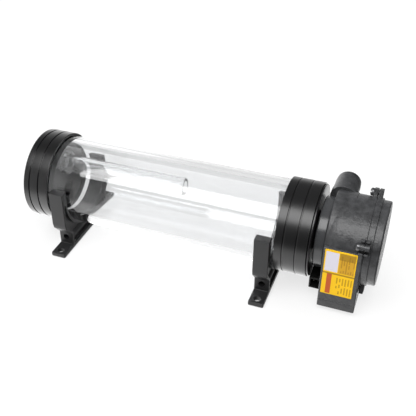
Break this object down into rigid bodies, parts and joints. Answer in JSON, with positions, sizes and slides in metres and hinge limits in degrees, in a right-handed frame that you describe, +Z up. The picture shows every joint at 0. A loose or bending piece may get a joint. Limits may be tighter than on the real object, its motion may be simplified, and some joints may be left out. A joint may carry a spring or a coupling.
{
  "type": "coolant pump reservoir",
  "caption": "Clear tube reservoir lying in two push-on clips, with a threaded inlet and fill plug at one end and a canned-rotor coolant pump with a side spigot at the other.",
  "frame": {"origin": "on the surface that the clips' feet stand on, under the middle of the whole length and width", "axes": "+X along the tube towards the pump, +Y towards the side that the outlet spigot points to, +Z up"},
  "size_m": [0.2512, 0.0826, 0.075],
  "materials": {
    "clear_acrylic": "clear, polished",
    "black_anodised": "black anodised, fine turned",
    "black_rubber": "matte",
    "clear_fitting": "clear, turned",
    "black_plastic": "fine grain",
    "grey_gloss_plastic": "smooth moulded",
    "grey_plastic": "moulded, satin",
    "screw_steel": "dull zinc",
    "can_plastic": "moulded",
    "ground_steel": "ground",
    "pale_plastic": "smooth",
    "white_plastic": "moulded",
    "magnet": "sintered, ground",
    "bush_plastic": "moulded",
    "core_steel": "stacked sheet",
    "enamelled_copper": "enamelled wire",
    "board_green": "lacquered board",
    "component_black": "moulded",
    "yellow_sheet": "printed film",
    "tinned_pins": "tinned",
    "wire_cover": "extruded"
  },
  "bodies": {
    "reservoir": {"reservoir_tube": "clear_acrylic", "end_cap": "black_anodised", "end_cap_seals": "black_rubber", "standpipe": "clear_acrylic", "standpipe_fitting": "clear_fitting", "pump_adapter": "black_anodised", "adapter_seals": "black_rubber", "left_bracket": "black_plastic", "right_bracket": "black_plastic", "suction_cover": "grey_gloss_plastic", "neck_seal": "black_rubber", "casing_seal": "black_rubber", "volute_casing": "grey_plastic", "rear_cover": "grey_plastic", "rear_cover_gasket": "black_rubber", "cover_screws": "screw_steel", "rotor_can": "can_plastic", "can_seal": "black_rubber", "pump_shaft": "ground_steel", "thrust_washers": "pale_plastic", "stator_core": "core_steel", "stator_coils": "enamelled_copper", "control_board": "board_green", "board_components": "component_black", "terminal_cover": "grey_plastic", "terminal_cover_screws": "screw_steel", "rating_plate": "yellow_sheet", "connector_housing": "black_plastic", "connector_pins": "tinned_pins", "lead_wires": "wire_cover"},
    "rotor": {"impeller": "white_plastic", "rotor_magnet": "magnet", "rotor_bush": "bush_plastic"},
    "plug_seal": {"fill_plug_seal": "black_rubber"},
    "plug": {"fill_plug": "black_anodised"}
  },
  "joints": [
    {"name": "rotor_spin", "type": "hinge", "parent": "reservoir", "child": "rotor", "pos_m": [0.0989, 0, 0.0422], "axis": [1, 0, 0], "continuous": true},
    {"name": "seal_slide", "type": "slide", "parent": "reservoir", "child": "plug_seal", "axis": [-1, 0, 0], "range_m": [0, 0.00612]},
    {"name": "plug_turn", "type": "hinge", "parent": "plug_seal", "child": "plug", "pos_m": [-0.1219, 0, 0.0305], "axis": [-1, 0, 0], "range_deg": [0, 1620]}
  ],
  "couplings": [
    {"joint": "seal_slide", "follows": "plug_turn", "m_per_rad": 0.00021279}
  ]
}
